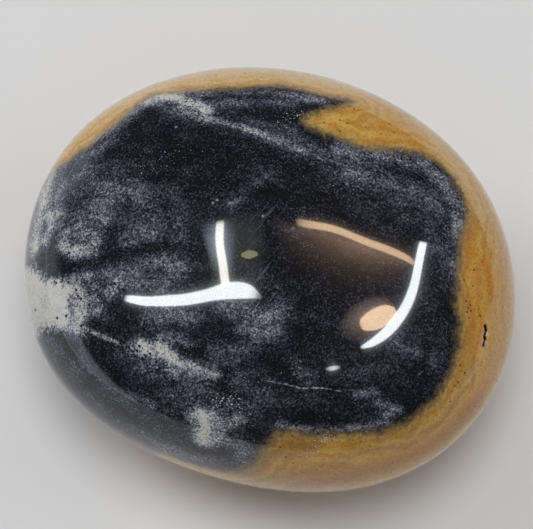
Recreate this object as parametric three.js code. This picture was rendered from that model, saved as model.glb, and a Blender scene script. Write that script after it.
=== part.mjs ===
// A palm stone: one pebble of black and golden banded volcanic stone, ground on a wheel to a
// rounded oval that fills a hand, polished all over, with a small flat underneath to rest on.
// It is a single solid. Millimetres, +X along its length, +Z up from the resting flat.
import * as THREE from "three";
import { mergeVertices } from "three/addons/utils/BufferGeometryUtils.js";

// Driving dimensions of the finished stone.
const LENGTH = 68; // along X, end to end
const WIDTH = 58.5; // along Y
const THICKNESS = 35; // along Z, from the resting flat to the crown
const REST_DEPTH = 0.6; // how much of the round underside the resting flat takes away

// The wheel leaves soft flats on the ball that the form starts from. Each one faces `turn`
// degrees round from +X and `rise` degrees above the horizontal, and stands `reach` ball
// radii out from the middle. The stone is the ball and all of its flats, blended together:
// a higher BLEND would make the flats crisper.
const BLEND = 8;
const SOFT_FLATS = [
  { turn: -90, rise: 0, reach: 1.055 }, // the long near side
  { turn: 15, rise: 0, reach: 1.18 }, // the blunt right-hand end
  { turn: 189, rise: 0, reach: 1.18 }, // the left-hand end
  { turn: 198, rise: 72, reach: 0.97 }, // the crown, to the left of its low ridge
  { turn: 18, rise: 72, reach: 0.97 }, // the crown, to the right of the ridge
];

const BALL_DETAIL = 17; // each edge of the icosahedron is split into 18
const SHARED_VERTEX = 1e-5; // ball radii within which two corners are one vertex

const radians = THREE.MathUtils.degToRad;

// Outward unit vector of a soft flat.
function facing({ turn, rise }) {
  return new THREE.Vector3(
    Math.cos(radians(rise)) * Math.cos(radians(turn)),
    Math.cos(radians(rise)) * Math.sin(radians(turn)),
    Math.sin(radians(rise)),
  );
}

// Distance from the middle to the blended surface along a unit direction, in ball radii.
function radiusAlong(direction) {
  let sum = 1;
  for (const flat of SOFT_FLATS) {
    const nearness = facing(flat).dot(direction) / flat.reach;
    sum += Math.max(0, nearness) ** BLEND;
  }
  return sum ** (-1 / BLEND);
}

// The ball with its soft flats, as one closed indexed geometry.
function groundBall() {
  const geometry = new THREE.IcosahedronGeometry(1, BALL_DETAIL);
  geometry.deleteAttribute("normal");
  geometry.deleteAttribute("uv");
  const ball = mergeVertices(geometry, SHARED_VERTEX);
  const corners = ball.getAttribute("position");
  const corner = new THREE.Vector3();
  for (let i = 0; i < corners.count; i += 1) {
    corner.fromBufferAttribute(corners, i).normalize();
    corner.multiplyScalar(radiusAlong(corner));
    corners.setXYZ(i, corner.x, corner.y, corner.z);
  }
  return ball;
}

// Stretches the ground ball to its real size, with its middle over the origin, and lowers it
// until the plane Z = 0 is the resting flat.
function stoneGeometry() {
  const stone = groundBall();
  stone.center();
  stone.computeBoundingBox();
  const extent = stone.boundingBox.getSize(new THREE.Vector3());
  const uncutHeight = THICKNESS + REST_DEPTH;
  stone.scale(LENGTH / extent.x, WIDTH / extent.y, uncutHeight / extent.z);
  stone.translate(0, 0, uncutHeight / 2 - REST_DEPTH);
  const corners = stone.getAttribute("position");
  for (let i = 0; i < corners.count; i += 1) {
    corners.setZ(i, Math.max(0, corners.getZ(i)));
  }
  stone.computeVertexNormals();
  return stone;
}

const polishedStone = new THREE.MeshStandardMaterial({
  color: 0x2a2a30,
  roughness: 0.1,
  metalness: 0,
});

const palmStone = new THREE.Mesh(stoneGeometry(), polishedStone);
palmStone.name = "palm_stone";

const part = new THREE.Group();
part.add(palmStone);

export default part;
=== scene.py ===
"""The polished surface of a black and golden palm stone, and the studio it lies in."""

import math

import bmesh
import bpy
import numpy as np
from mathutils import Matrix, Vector, noise
from mathutils.kdtree import KDTree


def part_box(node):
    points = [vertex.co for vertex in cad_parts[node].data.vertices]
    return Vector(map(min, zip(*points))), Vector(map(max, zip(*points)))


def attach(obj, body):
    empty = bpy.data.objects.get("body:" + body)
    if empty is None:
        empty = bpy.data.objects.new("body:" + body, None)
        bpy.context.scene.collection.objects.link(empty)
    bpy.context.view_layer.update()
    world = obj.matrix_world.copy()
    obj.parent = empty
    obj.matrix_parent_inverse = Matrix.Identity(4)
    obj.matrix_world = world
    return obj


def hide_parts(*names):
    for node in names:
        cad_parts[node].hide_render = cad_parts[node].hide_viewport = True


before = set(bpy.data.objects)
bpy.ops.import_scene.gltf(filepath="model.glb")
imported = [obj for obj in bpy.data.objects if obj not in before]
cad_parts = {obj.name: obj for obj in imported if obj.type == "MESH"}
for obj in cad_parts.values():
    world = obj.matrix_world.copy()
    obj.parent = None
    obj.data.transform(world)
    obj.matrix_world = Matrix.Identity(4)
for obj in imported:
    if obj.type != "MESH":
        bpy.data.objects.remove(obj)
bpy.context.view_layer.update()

MM = 0.001

# The form of the stone: a ball with soft flats, blended, stretched to the size of the solid.
# A soft flat faces `turn` degrees round from +X and `rise` degrees up, and stands `reach`
# ball radii from the middle.
BLEND = 8
SOFT_FLATS = [
    {"turn": -90, "rise": 0, "reach": 1.055},
    {"turn": 15, "rise": 0, "reach": 1.18},
    {"turn": 189, "rise": 0, "reach": 1.18},
    {"turn": 198, "rise": 72, "reach": 0.97},
    {"turn": 18, "rise": 72, "reach": 0.97},
]
REST_DEPTH = 0.6 * MM  # how much of the round underside the resting flat takes away

# How finely the form is split: all over, where its corners end up CORNER_SPACING apart, and
# further under small marks. A coarser ball is enough to measure how far the form reaches.
MEASURING_SUBDIVISIONS = 6
BALL_SUBDIVISIONS = 7
CORNER_SPACING = 0.55 * MM
FINE_SUBDIVISIONS = 3

# The camera, as the photograph was taken. The photograph is 533 by 529 pixels, and the middle
# of the stone is at AIM in it.
PHOTO_WIDTH, PHOTO_HEIGHT = 533, 529
CAMERA_TURN = 17.8
CAMERA_RISE = 70
CAMERA_DISTANCE = 320 * MM
FOCAL_PIXELS = 2334
AIM = (272.0, 275.2)
SENSOR_WIDTH_MM = 36

# The surface along a camera ray is looked for this far before and behind the stone's middle.
SEARCH_REACH = 60 * MM
NARROWING_STEPS = 50
HALVING_STEPS = 40

# A place outside the stone's outline in the photograph stands for one on the underside: it is
# this many radians past the rim for each outline radius outside it.
UNDERSIDE_TURN = 2.0

# Where the marks are, in pixels of the photograph. Places outside the outline are on the
# underside, which the photograph doesn't show.
DARK_GROUND = [
    (44, 182), (58, 168), (78, 154), (103, 135), (132, 111), (151, 96), (190, 91),
    (235, 89), (258, 87), (279, 86), (304, 91), (330, 98), (351, 101), (330, 107), (310, 114),
    (301, 119), (306, 126), (318, 131), (333, 136), (361, 148), (400, 151), (422, 155),
    (438, 164), (452, 177), (461, 195), (466, 210), (465, 220), (460, 236), (457, 279),
    (456, 298), (459, 327), (457, 346), (452, 367), (436, 398), (420, 412), (408, 422),
    (391, 428), (380, 432), (338, 432), (319, 434), (297, 431), (277, 432), (265, 445),
    (252, 462), (236, 470), (225, 472), (205, 468), (185, 461), (168, 455), (156, 453),
    (80, 470), (10, 450), (-50, 400), (-90, 330), (-80, 250), (-30, 190),
]  # fmt: skip
CREAM_GROUND = [
    (27, 266), (36, 268), (46, 279), (62, 281), (72, 279), (76, 290), (70, 305), (73, 320),
    (68, 331), (45, 328), (38, 334), (28, 342), (-40, 350), (-60, 290), (0, 258),
]  # fmt: skip

# Soft strokes: the places they run through, their half width in millimetres and strength.
# A stroke has faded out at STROKE_REACH half widths. The first ones lighten the dark ground,
# from grey dust at 0.3 to solid cream at 0.95.
STROKE_REACH = 2.5
GREY_STROKES = [
    ([(80, 182), (108, 190), (103, 222), (75, 225), (92, 205)], 3.2, 0.38),
    ([(62, 234), (78, 230), (96, 238), (94, 250), (72, 254), (62, 246)], 1.4, 0.56),
    ([(52, 168), (46, 190), (42, 208), (38, 228), (34, 248)], 2.4, 0.82),
    ([(44, 212), (52, 222), (46, 240)], 1.2, 0.74),
    ([(66, 160), (60, 180), (58, 205), (60, 225)], 1.7, 0.46),
    ([(55, 160), (80, 146), (105, 130), (132, 112)], 1.6, 0.56),
    ([(70, 160), (90, 155), (110, 140)], 1.4, 0.30),
    ([(122, 190), (146, 200), (152, 222), (146, 236), (128, 238)], 2.4, 0.29),
    ([(172, 195), (170, 215), (180, 235)], 1.6, 0.18),
    ([(231, 204), (246, 192), (265, 178)], 1.0, 0.28),
    ([(112, 275), (135, 268), (160, 262), (178, 270), (165, 282), (130, 286)], 1.9, 0.42),
    ([(90, 270), (108, 272), (118, 282), (108, 292)], 1.4, 0.52),
    ([(188, 94), (225, 92), (258, 91), (285, 94), (308, 98), (330, 101)], 1.1, 0.48),
    ([(215, 103), (255, 101), (295, 102)], 1.2, 0.35),
    ([(230, 117), (262, 123), (290, 130)], 1.1, 0.24),
    ([(270, 135), (300, 146), (335, 155), (370, 166)], 1.6, 0.36),
    ([(340, 153), (385, 157), (426, 165), (448, 184), (459, 211), (455, 234)], 1.9, 0.46),
    ([(350, 170), (392, 180), (425, 196), (441, 215)], 2.2, 0.34),
    ([(300, 150), (350, 178), (400, 205)], 1.8, 0.20),
    ([(432, 238), (450, 258), (454, 282)], 1.7, 0.30),
    ([(425, 300), (440, 330), (435, 365)], 1.6, 0.12),
    ([(350, 365), (375, 375), (405, 365)], 1.8, 0.12),
    ([(150, 315), (168, 312), (188, 318)], 2.0, 0.34),
    ([(222, 303), (240, 310), (262, 318), (280, 312)], 1.5, 0.46),
    ([(245, 328), (262, 332), (276, 328)], 1.2, 0.42),
    ([(120, 352), (145, 370), (175, 372), (205, 385)], 1.8, 0.36),
    ([(165, 395), (190, 400), (222, 410)], 1.8, 0.34),
    ([(130, 395), (155, 405), (178, 420)], 1.3, 0.26),
    ([(215, 350), (240, 352), (252, 345)], 1.6, 0.30),
    ([(238, 380), (262, 388), (255, 405)], 1.8, 0.26),
    ([(225, 440), (245, 448), (240, 460)], 1.5, 0.46),
    ([(50, 345), (62, 368), (85, 395), (112, 418)], 2.8, 0.16),
    ([(58, 342), (66, 360), (80, 380)], 1.8, 0.18),
    ([(82, 352), (98, 378), (125, 402), (155, 426)], 1.5, 0.26),
    ([(125, 425), (150, 438), (180, 452)], 2.0, 0.38),
    ([(165, 452), (200, 460), (245, 462)], 1.4, 0.36),
    ([(290, 400), (330, 405), (360, 398)], 1.2, 0.08),
    ([(355, 395), (375, 392)], 0.6, 0.40),
    ([(378, 403), (400, 410)], 0.6, 0.48),
    ([(385, 416), (396, 410)], 0.6, 0.46),
    ([(280, 426), (320, 430), (365, 428), (392, 421)], 0.6, 0.36),
    ([(295, 365), (310, 380)], 1.2, 0.28),
    ([(345, 375), (365, 372)], 1.4, 0.26),
    ([(395, 345), (415, 350)], 1.2, 0.28),
]
CREAM_STROKES = [
    ([(78, 276), (90, 274)], 1.3, 0.70),
    ([(78, 288), (79, 305), (76, 325)], 1.9, 0.80),
    ([(93, 288), (96, 308)], 1.4, 0.50),
    ([(148, 101), (163, 96), (179, 99), (194, 104), (205, 111)], 1.3, 0.96),
    ([(160, 105), (176, 109), (192, 115)], 1.1, 0.46),
    ([(182, 107), (198, 116), (208, 120)], 1.0, 0.74),
    ([(160, 94), (190, 92), (215, 92)], 0.7, 0.56),
    ([(130, 347), (138, 350), (150, 352), (162, 356)], 0.9, 0.66),
    ([(140, 343), (150, 347)], 0.8, 0.64),
    ([(158, 346), (168, 353), (174, 360)], 1.3, 0.86),
    ([(160, 338), (167, 336), (172, 342)], 0.8, 0.48),
    ([(172, 360), (188, 364), (200, 371), (214, 374)], 1.05, 0.76),
    ([(148, 363), (162, 368), (178, 373)], 0.9, 0.52),
    ([(190, 374), (202, 378)], 0.7, 0.56),
    ([(201, 414), (206, 425), (203, 440)], 1.35, 1.06),
    ([(192, 416), (197, 430), (208, 442)], 1.2, 0.70),
    ([(212, 412), (220, 430), (214, 440)], 1.4, 0.66),
    ([(226, 425), (240, 418)], 1.1, 0.46),
    ([(180, 338), (190, 345)], 0.8, 0.48),
    ([(262, 318), (275, 312)], 1.0, 0.52),
    ([(60, 445), (120, 468), (200, 478)], 1.2, 0.40),
]
VEINS = [
    ([(84, 328), (92, 332), (104, 337), (118, 343), (124, 346)], 0.36, 0.74),
    ([(202, 119), (222, 122), (238, 126), (262, 134), (280, 142)], 0.75, 0.52),
    ([(280, 142), (300, 150), (318, 157), (340, 163), (360, 168)], 0.55, 0.42),
    ([(262, 380), (285, 384), (300, 388), (322, 388), (341, 391)], 0.13, 0.62),
    ([(147, 305), (143, 320), (141, 327)], 0.12, 0.56),
    ([(418, 375), (423, 371)], 0.12, 0.75),
]
BLACK_STROKES = [
    ([(40, 258), (58, 262), (78, 268), (98, 266), (108, 255), (112, 238), (116, 225)], 1.0, 0.75),
    ([(112, 252), (138, 252), (160, 246)], 0.7, 0.60),
    ([(80, 183), (98, 178)], 1.0, 0.45),
    ([(101, 345), (113, 365), (130, 384)], 1.1, 0.6),
    ([(235, 113), (290, 112), (348, 103)], 0.7, 0.50),
]
# Painted glints: along these strokes the white specks that stand in for glints off the grains come
# thicker.
PAINTED_GLINT_STROKES = [
    ([(214, 400), (230, 402), (246, 409)], 1.8, 0.85),
    ([(228, 425), (240, 420)], 1.2, 0.8),
    ([(330, 437), (305, 455)], 1.5, 0.9),
    ([(283, 123), (296, 114), (314, 119)], 1.1, 0.9),
    ([(403, 143), (400, 150)], 0.9, 0.9),
    ([(240, 82), (276, 80)], 1.0, 0.6),
    ([(180, 150), (140, 170)], 3.0, 0.4),
]
STRAW_STROKES = [
    ([(60, 150), (100, 112), (180, 78), (270, 70), (350, 88)], 2.5, 0.7),
    ([(420, 125), (455, 165), (480, 210)], 1.6, 0.5),
]
# Painted shade: brown darkening of the gold along the lower rim and the lower right, where the flank
# lies in shade.
PAINTED_SHADE_STROKES = [
    ([(240, 474), (262, 458), (285, 449), (310, 446)], 1.8, 0.42),
    ([(255, 480), (300, 474), (345, 466)], 1.6, 0.24),
    ([(474, 404), (450, 430), (425, 448), (390, 464), (345, 478), (298, 486)], 2.0, 0.27),
    ([(350, 450), (400, 446), (438, 422), (458, 396), (468, 372)], 1.5, 0.26),
    ([(468, 372), (472, 340), (466, 298)], 1.1, 0.18),
]
STAIN_STROKES = [
    ([(484, 262), (488, 275), (491, 292)], 0.9, 0.8),
    ([(468, 236), (473, 270), (474, 315), (468, 350)], 1.5, 0.42),
    ([(478, 222), (486, 238), (490, 255)], 0.35, 0.5),
    ([(468, 300), (478, 312), (481, 330)], 1.2, 0.5),
    ([(380, 128), (420, 140)], 1.2, 0.35),
    ([(470, 408), (450, 420)], 0.9, 0.4),
    ([(350, 472), (305, 474)], 0.9, 0.35),
    ([(488, 378), (468, 412), (436, 442), (395, 464), (345, 480), (295, 486), (262, 482)], 1.8, 0.25),
]
# A tan band round the right and lower rim, darker than the gold: partly the stone's own tan, partly
# painted shade on the flank that curves under. The short strokes are tan spots.
TAN_AND_PAINTED_SHADE_STROKES = [
    ([(505, 240), (508, 300), (503, 350), (478, 405), (440, 445), (380, 472), (300, 486)], 1.8, 0.7),
    ([(494, 300), (494, 345), (476, 395), (452, 426)], 0.8, 0.55),
    ([(475, 213), (477, 217)], 0.45, 0.8),
    ([(471, 226), (474, 230)], 0.35, 0.8),
    ([(487, 218), (491, 226)], 0.35, 0.6),
    ([(493, 311), (496, 316), (503, 330)], 0.30, 0.6),
    ([(366, 111), (368, 122)], 0.40, 0.6),
]
SCRATCHED_STROKES = [
    ([(256, 300), (266, 265), (272, 225)], 3.0, 1.0),
]

# Small round marks, and the crack, which runs through its places in steps of CRACK_STEP pixels.
# The inclusion is a row of spots, each with its radius in millimetres.
DARK_SPECKS = [
    (324, 123), (347, 123), (340, 131), (354, 109), (381, 134), (389, 124), (216, 75),
    (245, 73), (229, 69), (473, 286), (468, 308), (465, 373), (458, 382), (292, 436),
    (298, 439), (280, 447), (286, 457), (320, 446), (293, 463), (340, 120), (491, 254),
    (466, 301), (470, 305), (471, 311), (467, 312), (469, 318), (474, 270), (464, 280),
    (480, 316), (460, 365), (455, 386), (508, 255), (450, 402), (262, 77), (302, 82),
]  # fmt: skip
PITS = [
    (96, 329), (121, 344), (126, 348), (133, 352), (145, 356), (139, 346), (152, 372),
    (57, 318), (66, 316), (81, 326), (81, 299), (76, 290), (78, 296), (89, 305), (100, 296),
    (69, 253), (56, 283), (35, 310), (68, 282), (90, 331), (129, 348), (137, 351), (150, 354),
    (194, 99), (318, 434),
]  # fmt: skip
CRACK = [(485.5, 326), (486.5, 331), (485, 336), (485.5, 340), (484, 345)]
CRACK_STEP = 0.5
CRACK_GRIT = [(482.5, 346), (485, 348.5)]
INCLUSION = [
    (243.5, 254.8, 0.42), (246.5, 254.8, 0.62), (249.5, 254.4, 0.76), (252.5, 254.2, 0.62),
    (255.5, 254.0, 0.42),
]  # fmt: skip
LIGHT_SPOTS = [(217, 200), (213, 203), (263, 216), (176, 127), (347, 184)]

SPECK_RADIUS = 0.30 * MM
PIT_RADIUS = 0.26 * MM
PIT_DEPTH = 0.16 * MM
CRACK_RADIUS = 0.36 * MM
CRACK_DEPTH = 0.45 * MM
SPOT_RADIUS = 0.34 * MM
FINE_MARGIN = 1.3  # the finer corners reach this many times as far as the mark does

# The slow waviness that the wheel leaves in the polish.
RIPPLE_HEIGHT = 0.012 * MM
RIPPLE_LENGTH = 5 * MM

# The lights that the polish mirrors, each drawn where its reflection is in the photograph:
# x, y and half width of the reflection in pixels, and the strength there.
COLD_STRIPS = {
    "long_strip": [
        (124, 297, 2.0, 0.0), (130, 298.5, 3.4, 1.0), (145, 300.5, 4.6, 1.0),
        (165, 300.5, 5.2, 1.0), (185, 299, 5.4, 1.0), (205, 295.5, 6.5, 1.0),
        (222, 292, 7.4, 1.0), (236, 290.5, 7.5, 1.0), (247, 291.5, 6.4, 1.0),
        (253, 293.5, 4.4, 0.7), (257, 295, 2.6, 0.3), (262, 297, 1.4, 0.0),
    ],
    "curved_strip": [
        (423, 241, 3.0, 0.0), (422, 245, 4.0, 1.0), (418.5, 262, 4.2, 1.0),
        (414.5, 281, 4.2, 1.0), (409, 299, 4.4, 1.0), (400, 316, 4.6, 1.0),
        (388, 331, 4.6, 1.0), (374, 342, 3.6, 1.0), (364, 346.5, 1.6, 0.9),
        (360, 348, 0.6, 0.0),
    ],
    "short_glint": [
        (326, 369, 0.8, 0.1), (331, 368.5, 1.8, 0.6), (335, 367.8, 1.5, 0.6),
        (339, 367, 0.6, 0.1),
    ],
}  # fmt: skip
CREAM_STRIPS = {
    "short_strip": [
        (219.8, 221, 2.8, 0.0), (220.0, 226, 3.5, 0.9), (221, 240, 3.7, 1.0),
        (222.5, 258, 3.7, 1.0), (224, 274, 3.8, 1.0), (226, 286, 3.8, 1.0),
    ],
}  # fmt: skip
WARM_STRIPS = {
    "warm_strip": [
        (295, 221.5, 2.5, 0.0), (302, 222.5, 3.2, 0.7), (320, 226.5, 3.3, 1.0),
        (347, 234.4, 3.2, 1.0), (373, 243.5, 3.2, 1.0), (393, 251.5, 3.2, 0.95),
        (406, 258, 2.8, 0.9), (413, 263.5, 1.8, 0.6),
    ],
    "warm_lamp": [
        (360, 326, 2.0, 0.4), (362.5, 325, 5.5, 1.0), (367, 323, 8.0, 1.15),
        (373, 320.5, 9.6, 1.15), (380, 317.5, 9.8, 1.15), (387, 314, 8.6, 1.15),
        (392, 311.5, 6.4, 1.15), (396, 309.5, 2.6, 1.0),
    ],
}  # fmt: skip

STRIP_LIGHTS = {
    "cold_light": {"colour": (0.90, 0.96, 1.0), "strength": 21, "strips": COLD_STRIPS},
    "cream_light": {"colour": (1.0, 0.98, 0.90), "strength": 19, "strips": CREAM_STRIPS},
    "warm_light": {"colour": (1.0, 0.69, 0.43), "strength": 13.5, "strips": WARM_STRIPS},
}

# A strip's strength across its width: at this many half widths and pixels beyond them.
STRIP_PROFILE = [
    (-1, -11, 0.0), (-1, -5, 0.02), (-1, -0.8, 0.10), (-1, 0.3, 1.0),
    (1, -0.3, 1.0), (1, 0.8, 0.10), (1, 5, 0.02), (1, 11, 0.0),
]  # fmt: skip

# Dim cards fill the reflection between an upper and a lower edge. A card comes up to full
# strength over 1/`rise` of the way down from its upper edge, dims towards the lower one by the
# power `falloff`, and comes up from each end over 1/`ends` of its length. Its sheet has
# CARD_ROWS rows of corners.
CARD_ROWS = 17
CARDS = {
    "warm_card": {
        "upper": [(276, 219), (295, 223), (320, 229), (347, 237), (373, 246), (393, 254),
                  (406, 262), (413, 270)],
        "lower": [(270, 296), (290, 306), (312, 314), (335, 320), (352, 322), (370, 318),
                  (388, 310), (404, 296)],
        "colour": (4.5, 2.80, 1.85), "rise": 20, "falloff": 4.2, "ends": 2.3,
    },
    "lamp_glow": {
        "upper": [(336, 322), (348, 308), (364, 298), (382, 295), (398, 297)],
        "lower": [(342, 340), (358, 345), (374, 343), (390, 334), (402, 322)],
        "colour": (4.6, 3.4, 2.9), "rise": 2.5, "falloff": 1, "ends": 3,
    },
    "grey_glow": {
        "upper": [(204, 222), (214, 214), (238, 210), (266, 212)],
        "lower": [(210, 292), (220, 296), (244, 296), (272, 290)],
        "colour": (0.60, 0.62, 0.56), "rise": 4, "falloff": 0.5, "ends": 5,
    },
    "blue_glow": {
        "upper": [(197, 222), (202, 238), (207, 254), (212, 274)],
        "lower": [(238, 218), (237, 236), (236, 254), (236, 274)],
        "colour": (7.0, 8.8, 11.5), "rise": 1.6, "falloff": 1.2, "ends": 3,
    },
    "left_card": {
        "upper": [(112, 143), (95, 165), (80, 190), (67, 215), (62, 255), (65, 295), (72, 316)],
        "lower": [(97, 128), (76, 152), (60, 179), (48, 208), (42, 256), (45, 300), (52, 324)],
        "colour": (0.66, 0.70, 0.82), "rise": 2, "falloff": 0, "ends": 6,
    },
    "low_left_card": {
        "upper": [(62, 285), (68, 310), (79, 332), (95, 360), (115, 382), (137, 400),
                  (160, 417), (182, 431), (205, 442)],
        "lower": [(44, 290), (50, 318), (62, 346), (78, 376), (97, 400), (120, 420),
                  (146, 437), (172, 450), (198, 460)],
        "colour": (0.94, 0.99, 1.16), "rise": 9, "falloff": 0, "ends": 6,
    },
    "right_card": {
        "upper": [(490, 300), (480, 330), (470, 370), (455, 390), (430, 415)],
        "lower": [(498, 302), (491, 333), (480, 375), (465, 396), (441, 426)],
        "colour": (0.60, 0.62, 0.66), "rise": 5, "falloff": 0, "ends": 5,
    },
}  # fmt: skip
LAMP_DISTANCE = 600 * MM  # of the strips and cards, along the mirrored rays

# The soft lights that fill the room, `turn` degrees round from the right-hand side of the view
# and `rise` degrees up. Sizes are in metres and energies in watts.
SOFT_BOX_DISTANCE = 1.8
SOFT_BOXES = {
    "overhead_light": {"turn": 80, "rise": 89, "size": 0.9, "energy": 12.5},
    "left_light": {"turn": 150, "rise": 33, "size": 1.0, "energy": 10.5},
    "right_light": {"turn": 5, "rise": 35, "size": 1.0, "energy": 3.0},
    "ceiling_light": {"turn": 0, "rise": 90, "size": 6.0, "energy": 20},
}

# The room's own faint glow, and the floor, whose half size is in metres.
ROOM_GLOW = (0.92, 0.96, 1.0)
ROOM_GLOW_STRENGTH = 0.08
FLOOR_COLOUR = (0.78, 0.78, 0.785)
FLOOR_HALF = 1.5


def unit(vectors):
    """The same vectors at length 1."""
    return vectors / np.linalg.norm(vectors, axis=-1, keepdims=True)


def facing(turn, rise):
    """Unit vector `turn` degrees round from +X and `rise` degrees up."""
    turn, rise = math.radians(turn), math.radians(rise)
    flat = math.cos(rise)
    return np.array([flat * math.cos(turn), flat * math.sin(turn), math.sin(rise)])


FLAT_GAUGES = np.array(
    [facing(flat["turn"], flat["rise"]) / flat["reach"] for flat in SOFT_FLATS]
)


def gauge(points):
    """1 on the surface of the ground ball, less inside and more outside."""
    round_part = (points**2).sum(-1) ** (BLEND / 2)
    flat_part = (np.maximum(0, points @ FLAT_GAUGES.T) ** BLEND).sum(-1)
    return (round_part + flat_part) ** (1 / BLEND)


def ball_directions(subdivisions):
    """Corner directions of a finely split icosahedron."""
    mesh = bmesh.new()
    bmesh.ops.create_icosphere(mesh, subdivisions=subdivisions, radius=1)
    directions = unit(np.array([corner.co for corner in mesh.verts]))
    mesh.free()
    return directions


class Form:
    """The stone's surface without its pits, and the way between it and the photograph."""

    def __init__(self):
        ball = ball_directions(MEASURING_SUBDIVISIONS)
        ball = ball / gauge(ball)[:, None]
        low, high = ball.min(0), ball.max(0)
        solid_low, solid_high = (np.array(corner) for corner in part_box("palm_stone"))
        solid_low[2] -= REST_DEPTH
        self.stretch = (solid_high - solid_low) / (high - low)
        self.middle = (solid_low + solid_high) / 2
        self.ball_middle = (low + high) / 2
        self.aim = np.array([0, 0, (solid_low[2] + REST_DEPTH + solid_high[2]) / 2])
        turn, rise = math.radians(CAMERA_TURN), math.radians(CAMERA_RISE)
        self.back = facing(CAMERA_TURN - 90, CAMERA_RISE)
        self.right = np.array([math.cos(turn), math.sin(turn), 0])
        self.up = np.cross(self.back, self.right)
        self.eye = self.aim + self.back * CAMERA_DISTANCE
        self.pole = unit(self.back / self.stretch)
        self.east = unit(self.right - (self.right @ self.pole) * self.pole)
        self.north = np.cross(self.pole, self.east)

    def to_ball(self, points):
        return (points - self.middle) / self.stretch + self.ball_middle

    def to_stone(self, ball_points):
        return (ball_points - self.ball_middle) * self.stretch + self.middle

    def surface(self, directions):
        """Points of the surface in these directions of the ball."""
        return self.to_stone(directions / gauge(directions)[:, None])

    def normals(self, points):
        """Outward unit normals at points of the surface."""
        ball = self.to_ball(points)
        radius = np.linalg.norm(ball, axis=-1, keepdims=True)
        pushes = np.maximum(0, ball @ FLAT_GAUGES.T)
        slope = radius ** (BLEND - 2) * ball + pushes ** (BLEND - 1) @ FLAT_GAUGES
        return unit(slope / self.stretch)

    def rays(self, pixels):
        """Unit directions from the camera through these places in the photograph."""
        across = (pixels[:, 0] - AIM[0]) / FOCAL_PIXELS
        down = (pixels[:, 1] - AIM[1]) / FOCAL_PIXELS
        return unit(across[:, None] * self.right - down[:, None] * self.up - self.back)

    def places(self, pixels):
        """Points of the surface that show at these places in the photograph.

        Each ray is narrowed down to where it runs deepest, and from there halved back to where
        it comes in. Rays that miss the stone go on to its underside.
        """
        rays = self.rays(np.asarray(pixels, float)[:, :2])

        def gauge_at(reach):
            return gauge(self.to_ball(self.eye + rays * reach[:, None]))

        near = np.full(len(rays), CAMERA_DISTANCE - SEARCH_REACH)
        left, right = near, near + 2 * SEARCH_REACH
        for _ in range(NARROWING_STEPS):
            third = (right - left) / 3
            nearer = gauge_at(left + third) < gauge_at(right - third)
            left, right = (
                np.where(nearer, left, left + third),
                np.where(nearer, right - third, right),
            )
        deepest = (left + right) / 2
        depth = gauge_at(deepest)
        outside, inside = near, deepest
        for _ in range(HALVING_STEPS):
            half = (outside + inside) / 2
            hit = gauge_at(half) < 1
            outside, inside = np.where(hit, outside, half), np.where(hit, half, inside)
        ball = self.to_ball(self.eye + rays * inside[:, None])
        away, east, north = self.spread(unit(ball))
        past_rim = np.maximum(0, depth - 1) * UNDERSIDE_TURN
        return self.surface(self.gathered(away + past_rim, east, north))

    def spread(self, directions):
        """Angle from the middle of the view, and the unit bearing, of ball directions."""
        away = np.arccos(np.clip(directions @ self.pole, -1, 1))
        east, north = directions @ self.east, directions @ self.north
        length = np.maximum(np.hypot(east, north), 1e-9)
        return away, east / length, north / length

    def gathered(self, away, east, north):
        """The ball directions that spread() came from."""
        bearing = east[:, None] * self.east + north[:, None] * self.north
        return np.cos(away)[:, None] * self.pole + np.sin(away)[:, None] * bearing

    def chart(self, points):
        """A flat map of the surface, the middle of the view at its middle."""
        away, east, north = self.spread(unit(self.to_ball(points)))
        return np.stack([away * east, away * north], -1)


form = Form()


def smooth_line(points, steps=12):
    """A smooth line through the points (Catmull-Rom), with any further values carried along."""
    points = np.asarray(points, float)
    before = np.vstack([2 * points[0] - points[1], points[:-1]])
    after = np.vstack([points[1:], 2 * points[-1] - points[-2]])
    line = []
    for i in range(len(points) - 1):
        for step in range(steps):
            t = step / steps
            start_slope = (points[i + 1] - before[i]) / 2
            end_slope = (after[i + 1] - points[i]) / 2
            line.append(
                (2 * t**3 - 3 * t**2 + 1) * points[i]
                + (t**3 - 2 * t**2 + t) * start_slope
                + (3 * t**2 - 2 * t**3) * points[i + 1]
                + (t**3 - t**2) * end_slope
            )
    line.append(points[-1])
    return np.array(line)


def straight_line(points, spacing=1.5):
    """The points joined by straight runs, cut into steps of about `spacing` pixels."""
    points = np.asarray(points, float)
    line = [points[:1]]
    for start, end in zip(points[:-1], points[1:]):
        count = max(1, round(np.linalg.norm(end - start) / spacing))
        shares = np.arange(1, count + 1)[:, None] / count
        line.append(start + (end - start) * shares)
    return np.vstack(line)


def distances(points, line):
    """Distance from each point to the nearest point of a line."""
    tree = KDTree(len(line))
    for i, place in enumerate(line):
        tree.insert(place, i)
    tree.balance()
    return np.array([tree.find(point)[2] for point in points])


def close_to(points, line, reach):
    """Which points lie in the box around a line, the box being `reach` larger all round."""
    low, high = line.min(0) - reach, line.max(0) + reach
    return np.flatnonzero(((points > low) & (points < high)).all(-1))


def inside_area(places, corners):
    """True where a flat place lies in the closed outline."""
    inside = np.zeros(len(places), bool)
    for start, end in zip(corners, np.roll(corners, -1, axis=0)):
        if start[1] == end[1]:
            continue
        crossing = (start[1] > places[:, 1]) != (end[1] > places[:, 1])
        share = (places[:, 1] - start[1]) / (end[1] - start[1])
        inside ^= crossing & (places[:, 0] < start[0] + share * (end[0] - start[0]))
    return inside


def area_depth(points, outline):
    """How deep each point lies inside a closed outline, in metres; negative outside it."""
    line = form.places(straight_line(outline + outline[:1]))
    distance = distances(points, line)
    inside = inside_area(form.chart(points), form.chart(line))
    return np.where(inside, distance, -distance)


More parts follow.
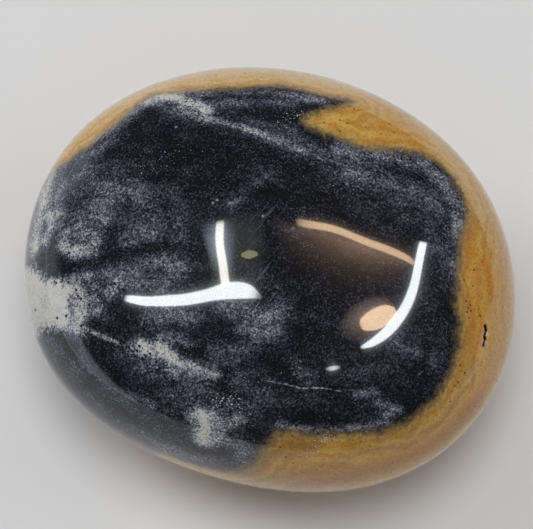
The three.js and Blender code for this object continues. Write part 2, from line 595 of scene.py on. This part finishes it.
def stroke_cover(points, strokes):
    """How strongly soft strokes cover each point, from 0 to 1."""
    cover = np.zeros(len(points))
    for places, half_width, strength in strokes:
        line = form.places(straight_line(places))
        close = close_to(points, line, STROKE_REACH * half_width * MM)
        distance = distances(points[close], line)
        touch = strength * np.exp(-((distance / (half_width * MM)) ** 2))
        cover[close] = np.maximum(cover[close], touch)
    return cover


def spot_cover(points, line, radius):
    """1 at a line of the surface, falling smoothly to 0 at the radius."""
    cover = np.zeros(len(points))
    close = close_to(points, line, radius)
    distance = distances(points[close], line)
    cover[close] = np.maximum(0, 1 - (distance / radius) ** 2) ** 2
    return cover


def crack_line():
    """The line of the crack on the surface."""
    return form.places(straight_line(CRACK, CRACK_STEP))


def inclusion_spots():
    """The places of the inclusion's spots on the surface, and their radii."""
    return [(form.places([(x, y)]), radius * MM) for x, y, radius in INCLUSION]


def small_marks():
    """The lines that the small marks follow on the surface, and how far each one reaches."""
    strokes = GREY_STROKES + CREAM_STROKES + VEINS + BLACK_STROKES + TAN_AND_PAINTED_SHADE_STROKES + STAIN_STROKES
    return [
        (form.places(PITS), PIT_RADIUS),
        (crack_line(), CRACK_RADIUS),
        (form.places(DARK_SPECKS), SPECK_RADIUS),
        *inclusion_spots(),
        (form.places(LIGHT_SPOTS), SPOT_RADIUS),
        *(
            (form.places(straight_line(places)), half_width * MM)
            for places, half_width, _ in strokes
            if half_width * MM < 2 * CORNER_SPACING
        ),
    ]


def refined_ball():
    """A ball split finely enough for the stone, and more finely under its small marks."""
    ball = bmesh.new()
    bmesh.ops.create_icosphere(ball, subdivisions=BALL_SUBDIVISIONS, radius=1)
    marks = small_marks()
    spacing = CORNER_SPACING
    for _ in range(FINE_SUBDIVISIONS):
        points = form.surface(unit(np.array([corner.co for corner in ball.verts])))
        wanted = np.zeros(len(points), bool)
        for line, reach in marks:
            if reach < 2 * spacing:
                fine_reach = FINE_MARGIN * reach + spacing
                close = close_to(points, line, fine_reach)
                wanted[close] |= distances(points[close], line) < fine_reach
        edges = [edge for edge in ball.edges if any(wanted[v.index] for v in edge.verts)]
        bmesh.ops.subdivide_edges(ball, edges=edges, cuts=1, use_grid_fill=True)
        bmesh.ops.triangulate(ball, faces=[face for face in ball.faces if len(face.verts) > 3])
        ball.verts.index_update()
        spacing /= 2
    return ball


def stone_mesh():
    """The stone's surface with its pits and crack, and its marks as values at the corners."""
    mesh = bpy.data.meshes.new("polished_palm_stone")
    ball = refined_ball()
    ball.to_mesh(mesh)
    ball.free()
    directions = np.zeros(len(mesh.vertices) * 3)
    mesh.vertices.foreach_get("co", directions)
    points = form.surface(unit(directions.reshape(-1, 3)))
    ripple = np.array([noise.noise(point) for point in points / RIPPLE_LENGTH])
    pits = spot_cover(points, form.places(PITS), PIT_RADIUS)
    crack = spot_cover(points, crack_line(), CRACK_RADIUS)
    lift = ripple * RIPPLE_HEIGHT - pits * PIT_DEPTH - crack * CRACK_DEPTH
    write_marks(mesh, points, np.maximum(pits, crack))
    points = points + form.normals(points) * lift[:, None]
    points[:, 2] = np.maximum(points[:, 2], 0)
    mesh.vertices.foreach_set("co", points.ravel())
    mesh.shade_smooth()
    mesh.update()
    return mesh


def write_marks(mesh, points, pit):
    """Stores each kind of mark as a value at every corner of the mesh."""
    pale = stroke_cover(points, GREY_STROKES + CREAM_STROKES)
    pale = pale * (1 - stroke_cover(points, BLACK_STROKES))
    marks = {
        "dark_depth": area_depth(points, DARK_GROUND) / MM,
        "cream_depth": area_depth(points, CREAM_GROUND) / MM,
        "pale": np.maximum(pale, stroke_cover(points, VEINS)),
        "painted_glint": stroke_cover(points, PAINTED_GLINT_STROKES),
        "straw": stroke_cover(points, STRAW_STROKES),
        "stain": stroke_cover(points, STAIN_STROKES),
        "painted_shade": stroke_cover(points, PAINTED_SHADE_STROKES),
        "tan_and_painted_shade": stroke_cover(points, TAN_AND_PAINTED_SHADE_STROKES),
        "pit": pit,
        "speck": spot_cover(points, form.places(DARK_SPECKS), SPECK_RADIUS),
        "inclusion": np.maximum.reduce(
            [spot_cover(points, place, radius) for place, radius in inclusion_spots()]
        ),
        "spot": spot_cover(points, form.places(LIGHT_SPOTS + CRACK_GRIT), SPOT_RADIUS),
        "scratched": stroke_cover(points, SCRATCHED_STROKES),
    }
    for name, values in marks.items():
        attribute = mesh.attributes.new(name, "FLOAT", "POINT")
        attribute.data.foreach_set("value", values.astype(np.float32))


class Nodes:
    """Short ways to add nodes to one material."""

    def __init__(self, material):
        self.tree = material.node_tree
        self.place = self.add("ShaderNodeTexCoord").outputs["Object"]

    def drawn_out(self, place, share, turn=0.0):
        """Places for a pattern that is 1/share times as long as wide, turned by `turn` radians."""
        turned = self.add("ShaderNodeMapping", {"Vector": place, "Rotation": (0, 0, turn)})
        return self.add(
            "ShaderNodeMapping", {"Vector": turned.outputs["Vector"], "Scale": (share, 1, 1)}
        ).outputs["Vector"]

    def add(self, kind, inputs=None, **settings):
        node = self.tree.nodes.new(kind)
        for name, value in settings.items():
            setattr(node, name, value)
        for name, value in (inputs or {}).items():
            self.feed(node.inputs[name], value)
        return node

    def feed(self, socket, value):
        if isinstance(value, bpy.types.NodeSocket):
            self.tree.links.new(value, socket)
        elif socket.type == "RGBA":
            socket.default_value = (*value, 1)
        else:
            socket.default_value = value

    def mark(self, name):
        return self.add("ShaderNodeAttribute", attribute_name=name).outputs["Fac"]

    def math(self, operation, *values):
        return self.add(
            "ShaderNodeMath", dict(enumerate(values)), operation=operation
        ).outputs[0]

    def plus(self, first, second):
        return self.math("ADD", first, second)

    def less(self, first, second):
        return self.math("SUBTRACT", first, second)

    def times(self, first, second):
        return self.math("MULTIPLY", first, second)

    def noise(self, size_mm, detail=2.0, roughness=0.5, seed=0.0, place=None):
        """Noise from 0 to 1 whose lumps are about size_mm across."""
        if place is None:
            place = self.place
        return self.add(
            "ShaderNodeTexNoise",
            {
                "Vector": place,
                "W": seed,
                "Scale": 1 / (size_mm * MM),
                "Detail": detail,
                "Roughness": roughness,
            },
            noise_dimensions="4D",
        ).outputs["Fac"]

    def step(self, value, start, end, low=0.0, high=1.0):
        """Goes smoothly from low to high as value goes from start to end."""
        return self.add(
            "ShaderNodeMapRange",
            {
                "Value": value,
                "From Min": start,
                "From Max": end,
                "To Min": low,
                "To Max": high,
            },
            interpolation_type="SMOOTHSTEP",
        ).outputs["Result"]

    def scale(self, value, stops):
        """The colour that a scale of (value, colour) stops has at this value."""
        ramp = self.add("ShaderNodeValToRGB", {"Fac": value})
        elements = ramp.color_ramp.elements
        for place, _ in stops[1:-1]:
            elements.new(place)
        for element, (place, colour) in zip(elements, stops):
            element.position = place
            element.color = (*colour, 1)
        return ramp.outputs["Color"]

    def mix(self, share, first, second):
        node = self.add("ShaderNodeMix", data_type="RGBA")
        self.feed(node.inputs[0], share)
        self.feed(node.inputs[6], first)
        self.feed(node.inputs[7], second)
        return node.outputs[2]


# How wide the clouds of the dark ground and the hairline scratches are for their length, and
# which way the scratches run, in radians.
CLOUD_SHARE = 0.55
SCRATCH_SHARE = 0.03
SCRATCH_TURN = -1.25

STONE_IOR = 1.54

BLACK = (0.0020, 0.0022, 0.0034)
OCHRE = (0.53, 0.258, 0.042)
GOLD = (0.65, 0.395, 0.085)
ORANGE = (0.56, 0.19, 0.02)
STRAW = (0.66, 0.47, 0.23)
TAN = (0.55, 0.28, 0.112)
OLIVE = (0.19, 0.155, 0.09)
BROWN = (0.05, 0.028, 0.012)
# The white of the painted glints.
PAINTED_GLINT_WHITE = (0.70, 0.70, 0.69)
SPOT_GREY = (0.26, 0.26, 0.33)
OLIVE_GREY = (0.24, 0.21, 0.12)

# The dark ground's colours by tone, from its darkest grain through grey dust to solid cream.
# Unmarked ground has BARE_TONE on average, and a full mark adds MARKED_TONE to it.
BARE_TONE = 0.095
MARKED_TONE = 0.95
GREY_SCALE = [
    (0.00, BLACK),
    (0.20, (0.0120, 0.013, 0.019)),
    (0.40, (0.046, 0.050, 0.076)),
    (0.60, (0.130, 0.137, 0.178)),
    (0.80, (0.318, 0.322, 0.345)),
    (1.00, (0.59, 0.58, 0.55)),
]


def dark_colour(nodes, ragged):
    """Black stone, grainy all over, with grey dust, pale veins and cream where it is pale."""
    shake = nodes.times(nodes.less(ragged, 0.5), 6.0)
    cream = nodes.step(nodes.plus(nodes.mark("cream_depth"), shake), -1.2, 0.9, 0.0, 0.92)
    level = nodes.math("MAXIMUM", nodes.mark("pale"), cream)
    calm = nodes.less(1.0, nodes.times(cream, 0.75))
    bedded = nodes.drawn_out(nodes.place, CLOUD_SHARE)
    cloud = nodes.noise(2.6, detail=6.0, roughness=0.66, seed=2.0, place=bedded)
    grain = nodes.noise(0.27, detail=2.0, roughness=0.9, seed=1.0)
    cloudy = nodes.times(nodes.less(cloud, 0.5), nodes.plus(nodes.times(level, 0.9), 0.9))
    grainy = nodes.times(nodes.less(grain, 0.5), nodes.plus(nodes.times(level, 1.2), 1.9))
    shift = nodes.times(nodes.plus(cloudy, grainy), calm)
    tone = nodes.plus(nodes.times(level, MARKED_TONE), shift)
    return nodes.scale(nodes.plus(tone, BARE_TONE), GREY_SCALE)


def gold_colour(nodes):
    """Golden stone, banded alongside the dark ground, with stains, a paler tan outer rim that is
    partly painted shade, and painted shade in brown along the lower rim.
    """
    depth = nodes.mark("dark_depth")
    drift = nodes.noise(4.0, detail=3.0, seed=4.0)
    along = nodes.plus(nodes.times(depth, 0.8 * MM), nodes.times(drift, 5 * MM))
    band_place = nodes.add("ShaderNodeCombineXYZ", {"X": along}).outputs[0]
    bands = nodes.noise(0.8, detail=4.0, roughness=0.6, seed=5.0, place=band_place)
    mottle = nodes.noise(1.4, detail=6.0, roughness=0.75, seed=6.0)
    colour = nodes.mix(nodes.step(bands, 0.40, 0.62), OCHRE, GOLD)
    colour = nodes.mix(nodes.step(mottle, 0.50, 0.72, 0.0, 0.5), colour, STRAW)
    colour = nodes.mix(nodes.step(mottle, 0.50, 0.30, 0.0, 0.5), colour, ORANGE)
    # Tan along the right and lower rim, partly painted shade.
    colour = nodes.mix(nodes.mark("tan_and_painted_shade"), colour, TAN)
    colour = nodes.mix(nodes.mark("straw"), colour, STRAW)
    stain = nodes.times(nodes.mark("stain"), nodes.step(mottle, 0.3, 0.6, 0.4, 1.0))
    colour = nodes.mix(stain, colour, ORANGE)
    # Painted shade: brown mixed in along the lower rim.
    colour = nodes.mix(nodes.mark("painted_shade"), colour, BROWN)
    grain = nodes.noise(0.34, detail=2.0, roughness=0.9, seed=7.0)
    colour = nodes.mix(nodes.step(grain, 0.50, 0.18, 0.0, 0.9), colour, BROWN)
    return nodes.mix(nodes.step(grain, 0.50, 0.85, 0.0, 0.6), colour, STRAW)


def scratches(nodes):
    """How much of the pale hairlines left by wear shows, where the stone is scratched."""
    along = nodes.drawn_out(nodes.place, SCRATCH_SHARE, SCRATCH_TURN)
    hairs = nodes.noise(0.22, detail=2.0, seed=12.0, place=along)
    return nodes.times(nodes.step(hairs, 0.58, 0.72, 0.0, 0.3), nodes.mark("scratched"))


def stone_colour(nodes):
    """Everything that the stone's surface shows, as one colour."""
    ragged = nodes.noise(0.6, detail=4.0, roughness=0.8, seed=8.0)
    wander = nodes.noise(2.5, detail=2.0, seed=9.0)
    shake = nodes.plus(
        nodes.times(nodes.less(ragged, 0.5), 3.6), nodes.times(nodes.less(wander, 0.5), 0.9)
    )
    depth = nodes.plus(nodes.mark("dark_depth"), shake)
    colour = nodes.mix(nodes.step(depth, -1.9, 0.2, 0.0, 0.75), gold_colour(nodes), OLIVE)
    speck = nodes.plus(nodes.mark("speck"), nodes.times(nodes.less(ragged, 0.5), 1.6))
    colour = nodes.mix(nodes.step(speck, 0.25, 0.8, 0.0, 0.85), colour, BROWN)
    colour = nodes.mix(nodes.step(depth, -1.1, 1.0), colour, dark_colour(nodes, ragged))
    colour = nodes.mix(scratches(nodes), colour, SPOT_GREY)
    # Painted glints: small white specks in the colour all over, thicker along the glint strokes.
    glint = nodes.noise(0.18, detail=1.0, seed=3.0)
    glint = nodes.plus(glint, nodes.times(nodes.mark("painted_glint"), 0.17))
    colour = nodes.mix(nodes.step(glint, 0.76, 0.82), colour, PAINTED_GLINT_WHITE)
    inclusion = nodes.plus(nodes.mark("inclusion"), nodes.times(nodes.less(ragged, 0.5), 0.5))
    colour = nodes.mix(nodes.step(inclusion, 0.08, 0.25), colour, OLIVE_GREY)
    colour = nodes.mix(nodes.step(nodes.mark("pit"), 0.02, 0.4), colour, BLACK)
    return nodes.mix(nodes.step(nodes.mark("spot"), 0.1, 0.9, 0.0, 0.8), colour, SPOT_GREY)


def polished_stone():
    """The material of the whole stone. Its polish is the coat, over stone that hardly mirrors."""
    material = bpy.data.materials.new("polished_stone")
    material.use_nodes = True
    nodes = Nodes(material)
    surface = material.node_tree.nodes["Principled BSDF"]
    surface.inputs["IOR"].default_value = STONE_IOR
    surface.inputs["Specular IOR Level"].default_value = 0.03
    surface.inputs["Coat Weight"].default_value = 1.0
    surface.inputs["Coat Roughness"].default_value = 0.03
    surface.inputs["Coat IOR"].default_value = STONE_IOR
    nodes.feed(surface.inputs["Base Color"], stone_colour(nodes))
    smear = nodes.noise(3.0, detail=4.0, seed=10.0)
    gloss = nodes.step(smear, 0.3, 0.7, 0.22, 0.32)
    nodes.feed(surface.inputs["Roughness"], nodes.plus(gloss, nodes.times(nodes.mark("pit"), 0.5)))
    return material


def lamp_material(name, colour, strength):
    """A clear surface that only shines, as strongly as its `fade` values say."""
    material = bpy.data.materials.new(name)
    material.use_nodes = True
    material.node_tree.nodes.clear()
    nodes = Nodes(material)
    shine = nodes.times(nodes.mark("fade"), strength)
    glow = nodes.add("ShaderNodeEmission", {"Color": colour, "Strength": shine})
    clear = nodes.add("ShaderNodeBsdfTransparent")
    both = nodes.add("ShaderNodeAddShader", {0: glow.outputs[0], 1: clear.outputs[0]})
    nodes.add("ShaderNodeOutputMaterial", {"Surface": both.outputs[0]})
    return material


def mirrored_places(pixels):
    """Where in the room the polish at these places in the photograph shows."""
    points = form.places(pixels)
    normals = form.normals(points)
    rays = unit(points - form.eye)
    bounced = rays - 2 * (rays * normals).sum(-1, keepdims=True) * normals
    return points + bounced * LAMP_DISTANCE


def add_sheet_of_light(name, rows, fade, material):
    """A curved sheet of light, as strong as `fade`, mirrored at these rows of pixels."""
    count = len(rows[0])
    corners = np.vstack([mirrored_places(row) for row in rows])
    faces = [
        (first, first + 1, first + count + 1, first + count)
        for row in range(len(rows) - 1)
        for first in range(row * count, row * count + count - 1)
    ]
    mesh = bpy.data.meshes.new(name)
    mesh.from_pydata(corners.tolist(), [], faces)
    mesh.materials.append(material)
    attribute = mesh.attributes.new("fade", "FLOAT", "POINT")
    attribute.data.foreach_set("value", fade.ravel().astype(np.float32))
    sheet = bpy.data.objects.new(name, mesh)
    bpy.context.scene.collection.objects.link(sheet)
    sheet.visible_camera = False
    sheet.visible_diffuse = False
    sheet.visible_shadow = False


def add_strip(name, line, material):
    """A ribbon of light whose reflection follows the line of x, y, half width and strength."""
    line = smooth_line(line, steps=6)
    middle, half_width, strength = line[:, :2], line[:, 2], np.clip(line[:, 3], 0, None)
    along = unit(np.gradient(middle, axis=0))
    aside = np.stack([-along[:, 1], along[:, 0]], -1)
    rows, fade = [], []
    for across, beyond, share in STRIP_PROFILE:
        rows.append(middle + aside * (across * half_width + beyond)[:, None])
        fade.append(share * strength)
    add_sheet_of_light(name, rows, np.array(fade), material)


def add_card(name, card):
    """A dim card whose reflection lies between its two edges, and fades towards them."""
    upper, lower = smooth_line(card["upper"]), smooth_line(card["lower"])
    shares = np.linspace(0, 1, CARD_ROWS)
    rows = [upper * (1 - share) + lower * share for share in shares]
    down = np.minimum(1, shares * card["rise"]) * (1 - shares) ** card["falloff"]
    along = np.linspace(0, 1, len(upper))
    across = np.minimum(1, card["ends"] * np.minimum(along, 1 - along))
    material = lamp_material(name, card["colour"], 1.0)
    add_sheet_of_light(name, rows, down[:, None] * across[None, :], material)


def add_reflections():
    """The strips and cards that the polish mirrors."""
    for light_name, light in STRIP_LIGHTS.items():
        material = lamp_material(light_name, light["colour"], light["strength"])
        for name, line in light["strips"].items():
            add_strip(name, line, material)
    for name, card in CARDS.items():
        add_card(name, card)


def add_soft_box(name, box):
    """A round soft light that the polish doesn't show."""
    light = bpy.data.lights.new(name, "AREA")
    light.shape = "DISK"
    light.size = box["size"]
    light.energy = box["energy"]
    lamp = bpy.data.objects.new(name, light)
    bpy.context.scene.collection.objects.link(lamp)
    lamp.location = facing(CAMERA_TURN + box["turn"], box["rise"]) * SOFT_BOX_DISTANCE
    aim_at_stone(lamp)
    lamp.visible_glossy = False


def add_room():
    """The soft light that fills the room, and the room's own faint glow."""
    for name, light in SOFT_BOXES.items():
        add_soft_box(name, light)
    world = bpy.data.worlds.new("room")
    bpy.context.scene.world = world
    world.use_nodes = True
    background = world.node_tree.nodes["Background"]
    background.inputs["Color"].default_value = (*ROOM_GLOW, 1)
    background.inputs["Strength"].default_value = ROOM_GLOW_STRENGTH


def aim_at_stone(thing):
    """Turns a lamp or the camera to face the middle of the stone."""
    to_stone = Vector(form.aim) - thing.location
    thing.rotation_euler = to_stone.to_track_quat("-Z", "Y").to_euler()


def add_floor():
    """A plain pale floor."""
    material = bpy.data.materials.new("pale_floor")
    material.use_nodes = True
    surface = material.node_tree.nodes["Principled BSDF"]
    surface.inputs["Base Color"].default_value = (*FLOOR_COLOUR, 1)
    surface.inputs["Roughness"].default_value = 0.9
    surface.inputs["Specular IOR Level"].default_value = 0.1
    mesh = bpy.data.meshes.new("floor")
    corners = [(x * FLOOR_HALF, y * FLOOR_HALF, 0) for x, y in ((-1, -1), (1, -1), (1, 1), (-1, 1))]
    mesh.from_pydata(corners, [], [(0, 1, 2, 3)])
    mesh.materials.append(material)
    floor = bpy.data.objects.new("floor", mesh)
    bpy.context.scene.collection.objects.link(floor)


def add_camera():
    """The camera, where the photographer held theirs."""
    camera = bpy.data.cameras.new("camera")
    camera.sensor_width = SENSOR_WIDTH_MM
    camera.lens = FOCAL_PIXELS * SENSOR_WIDTH_MM / PHOTO_WIDTH
    camera.shift_x = (PHOTO_WIDTH / 2 - AIM[0]) / PHOTO_WIDTH
    camera.shift_y = (AIM[1] - PHOTO_HEIGHT / 2) / PHOTO_WIDTH
    camera.clip_start = 0.01
    viewer = bpy.data.objects.new("camera", camera)
    bpy.context.scene.collection.objects.link(viewer)
    viewer.location = form.eye
    aim_at_stone(viewer)
    bpy.context.scene.camera = viewer


def add_stone():
    """The polished stone, in place of the plain solid."""
    mesh = stone_mesh()
    mesh.materials.append(polished_stone())
    stone = bpy.data.objects.new("polished_palm_stone", mesh)
    bpy.context.scene.collection.objects.link(stone)
    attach(stone, "root")
    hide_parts("palm_stone")


add_camera()
add_stone()
add_floor()
add_reflections()
add_room()
bpy.context.scene.view_settings.view_transform = "Standard"
